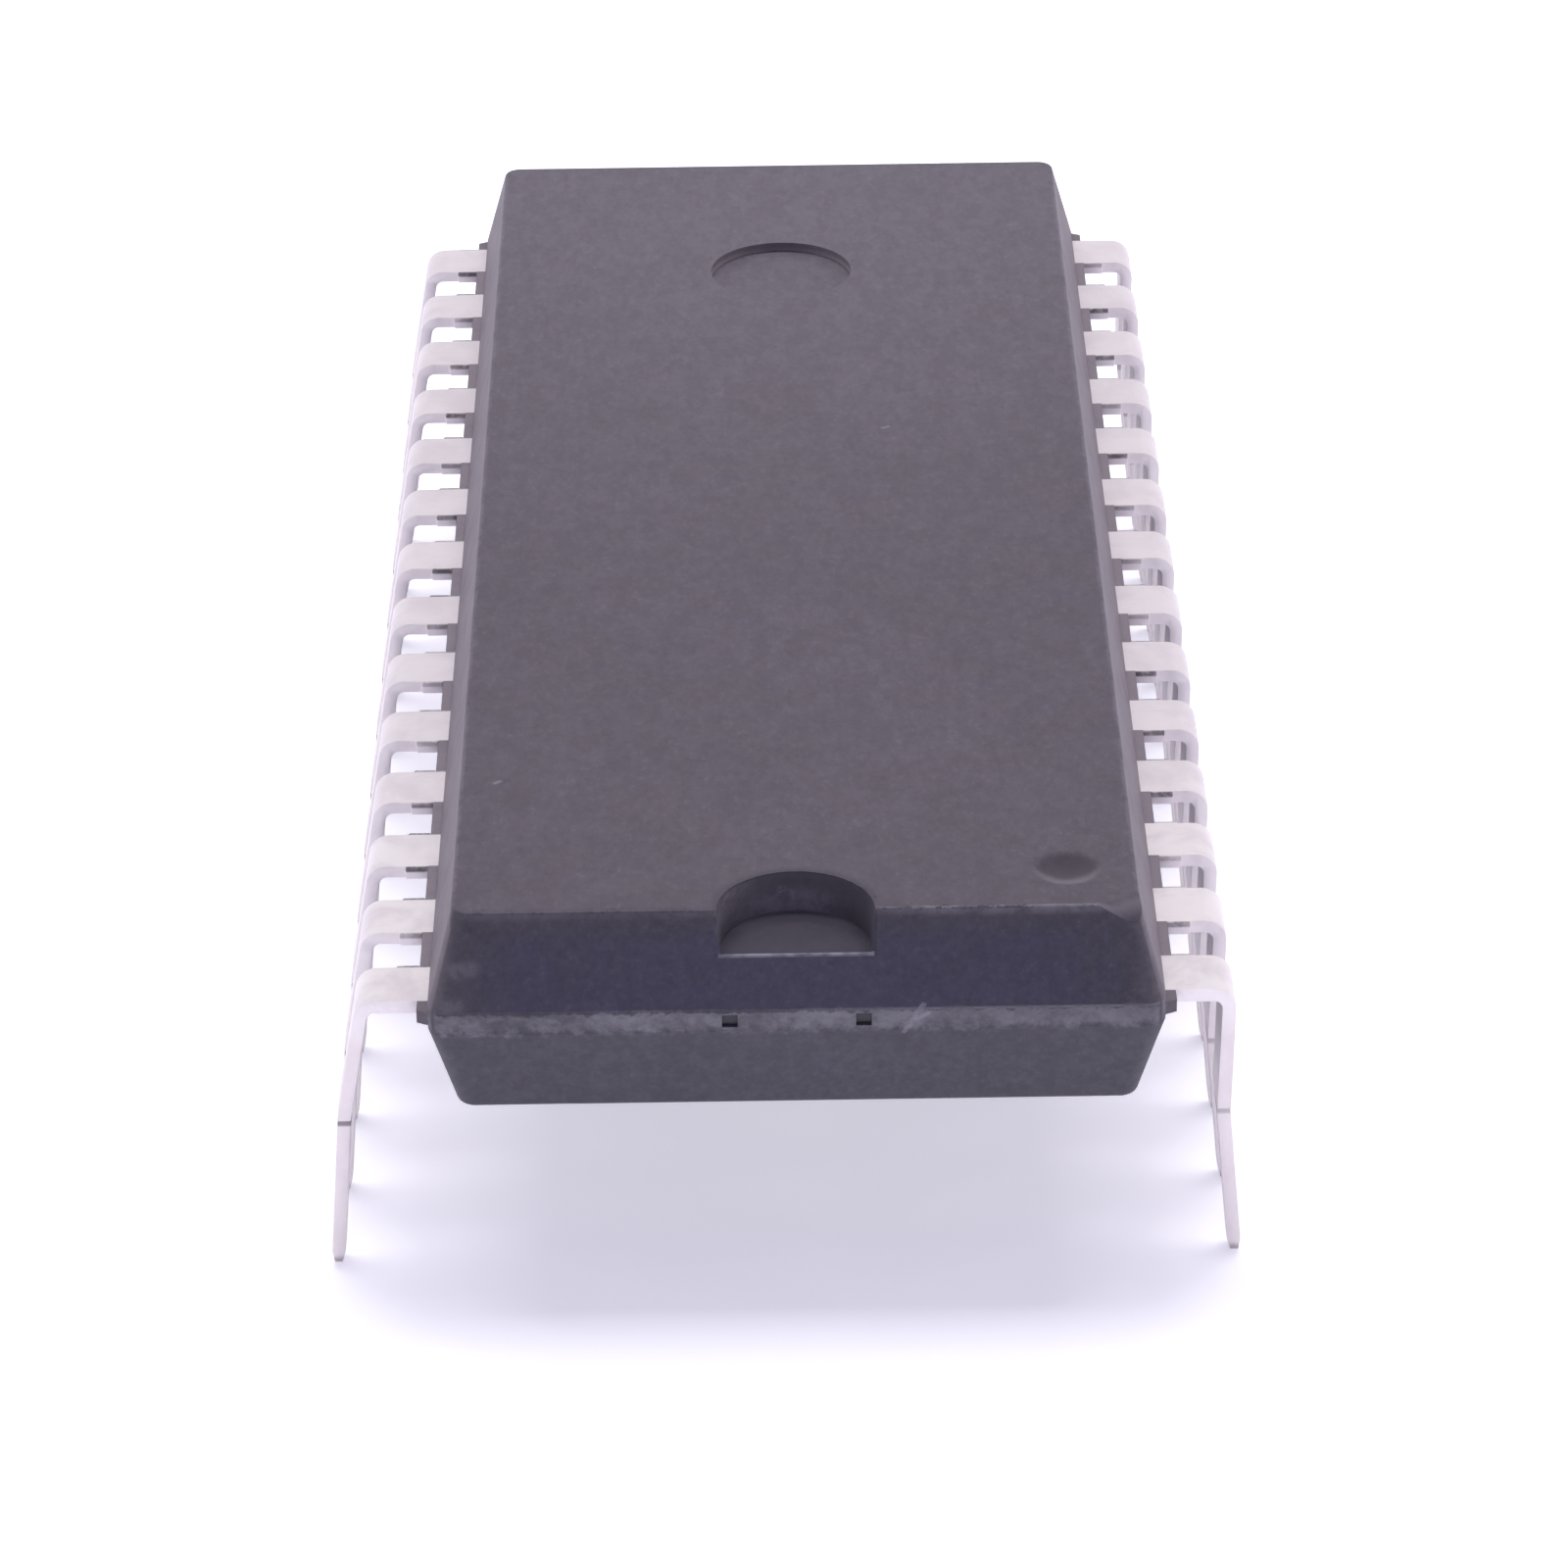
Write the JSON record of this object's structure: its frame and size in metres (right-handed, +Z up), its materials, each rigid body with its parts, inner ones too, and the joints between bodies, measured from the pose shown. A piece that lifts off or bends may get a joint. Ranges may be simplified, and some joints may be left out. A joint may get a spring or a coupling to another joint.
{
  "type": "memory chip in a dual-in-line package",
  "caption": "Non-volatile memory chip in a wide plastic dual-in-line package, with bent through-hole leads along both long sides and a half-round orientation notch.",
  "frame": {"origin": "middle of the package in plan, on the plane of the lead tips", "axes": "+Z up out of the top face, +Y along the package away from the notched end, +X towards the row that starts with pin 1"},
  "size_m": [0.0167, 0.0356, 0.0077],
  "materials": {
    "moulding_compound": "matt dark grey epoxy moulding compound, finely spark-textured",
    "tinned_lead": "dull solder-dipped tin over copper alloy",
    "lead_frame_copper": "bare copper alloy sheet, stamped",
    "silicon": "polished silicon",
    "die_adhesive": "silver-filled epoxy",
    "bond_wire": "fine gold wire"
  },
  "bodies": {
    "root": {"moulded_body": "moulding_compound", "die_paddle": "lead_frame_copper", "die_adhesive": "die_adhesive", "silicon_die": "silicon", "bond_wires": "bond_wire", "lead_01": "tinned_lead", "lead_02": "tinned_lead", "lead_03": "tinned_lead", "lead_04": "tinned_lead", "lead_05": "tinned_lead", "lead_06": "tinned_lead", "lead_07": "tinned_lead", "lead_08": "tinned_lead", "lead_09": "tinned_lead", "lead_10": "tinned_lead", "lead_11": "tinned_lead", "lead_12": "tinned_lead", "lead_13": "tinned_lead", "lead_14": "tinned_lead", "lead_15": "tinned_lead", "lead_16": "tinned_lead", "lead_17": "tinned_lead", "lead_18": "tinned_lead", "lead_19": "tinned_lead", "lead_20": "tinned_lead", "lead_21": "tinned_lead", "lead_22": "tinned_lead", "lead_23": "tinned_lead", "lead_24": "tinned_lead", "lead_25": "tinned_lead", "lead_26": "tinned_lead", "lead_27": "tinned_lead", "lead_28": "tinned_lead"}
  },
  "joints": []
}
